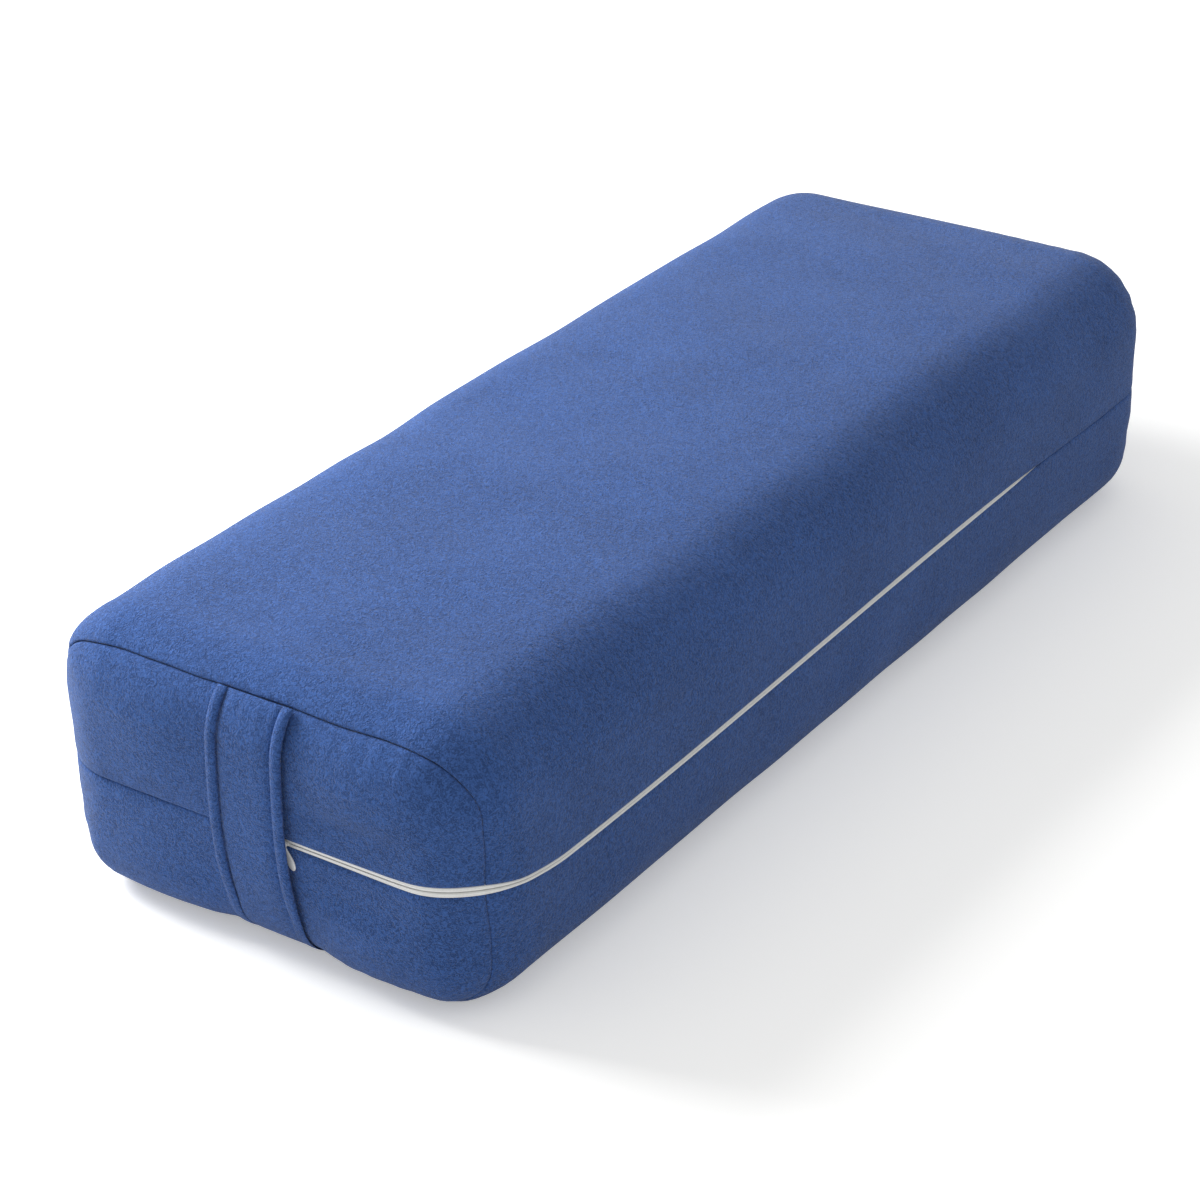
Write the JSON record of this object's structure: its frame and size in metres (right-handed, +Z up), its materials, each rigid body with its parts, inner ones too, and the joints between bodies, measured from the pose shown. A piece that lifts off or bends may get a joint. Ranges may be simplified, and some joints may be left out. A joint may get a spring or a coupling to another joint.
{
  "type": "yoga bolster",
  "caption": "Rectangular padded bolster in a zipped soft cloth cover, with one strap handle on its end and a foam core inside.",
  "frame": {"origin": "middle of the flat base, half way along and half way across the body", "axes": "+Z up, square to the base; +Y along the body, away from the handle; +X towards the zipped long side"},
  "size_m": [0.264, 0.6699, 0.149],
  "materials": {
    "cover_cloth": "short-nap microsuede, blue",
    "handle_webbing": "woven webbing, dark blue",
    "zip_tape": "woven polyester tape, white",
    "zip_coil": "nylon coil, white",
    "zip_metal": "die-cast zinc, painted white",
    "lining": "plain cotton lining",
    "wadding": "bonded polyester wadding",
    "foam": "firm open-cell polyurethane foam"
  },
  "bodies": {
    "bolster": {"cover_top_wrap": "cover_cloth", "cover_base_wrap": "cover_cloth", "near_end_upper_panel": "cover_cloth", "near_end_lower_panel": "cover_cloth", "far_end_upper_panel": "cover_cloth", "far_end_lower_panel": "cover_cloth", "handle_face_strip": "cover_cloth", "handle_webbing": "handle_webbing", "handle_rim_left": "cover_cloth", "handle_rim_right": "cover_cloth", "zip_tape_upper": "zip_tape", "zip_tape_lower": "zip_tape", "zip_coil_upper": "zip_coil", "zip_coil_lower": "zip_coil", "zip_end_stop_upper": "zip_metal", "zip_end_stop_lower": "zip_metal", "zip_tail_stop": "zip_metal", "liner_upper_half": "lining", "liner_lower_half": "lining", "wadding_upper_half": "wadding", "wadding_lower_half": "wadding", "foam_core": "foam"},
    "slider": {"zip_slider": "zip_metal"},
    "puller": {"zip_puller": "zip_metal"}
  },
  "joints": [
    {"name": "slider_run", "type": "slide", "parent": "bolster", "child": "slider", "axis": [1, 0, 0], "range_m": [0, 0.055]},
    {"name": "puller_swing", "type": "hinge", "parent": "slider", "child": "puller", "pos_m": [0.0205, -0.332, 0.0687], "axis": [0, -1, 0], "range_deg": [-45, 60]}
  ]
}
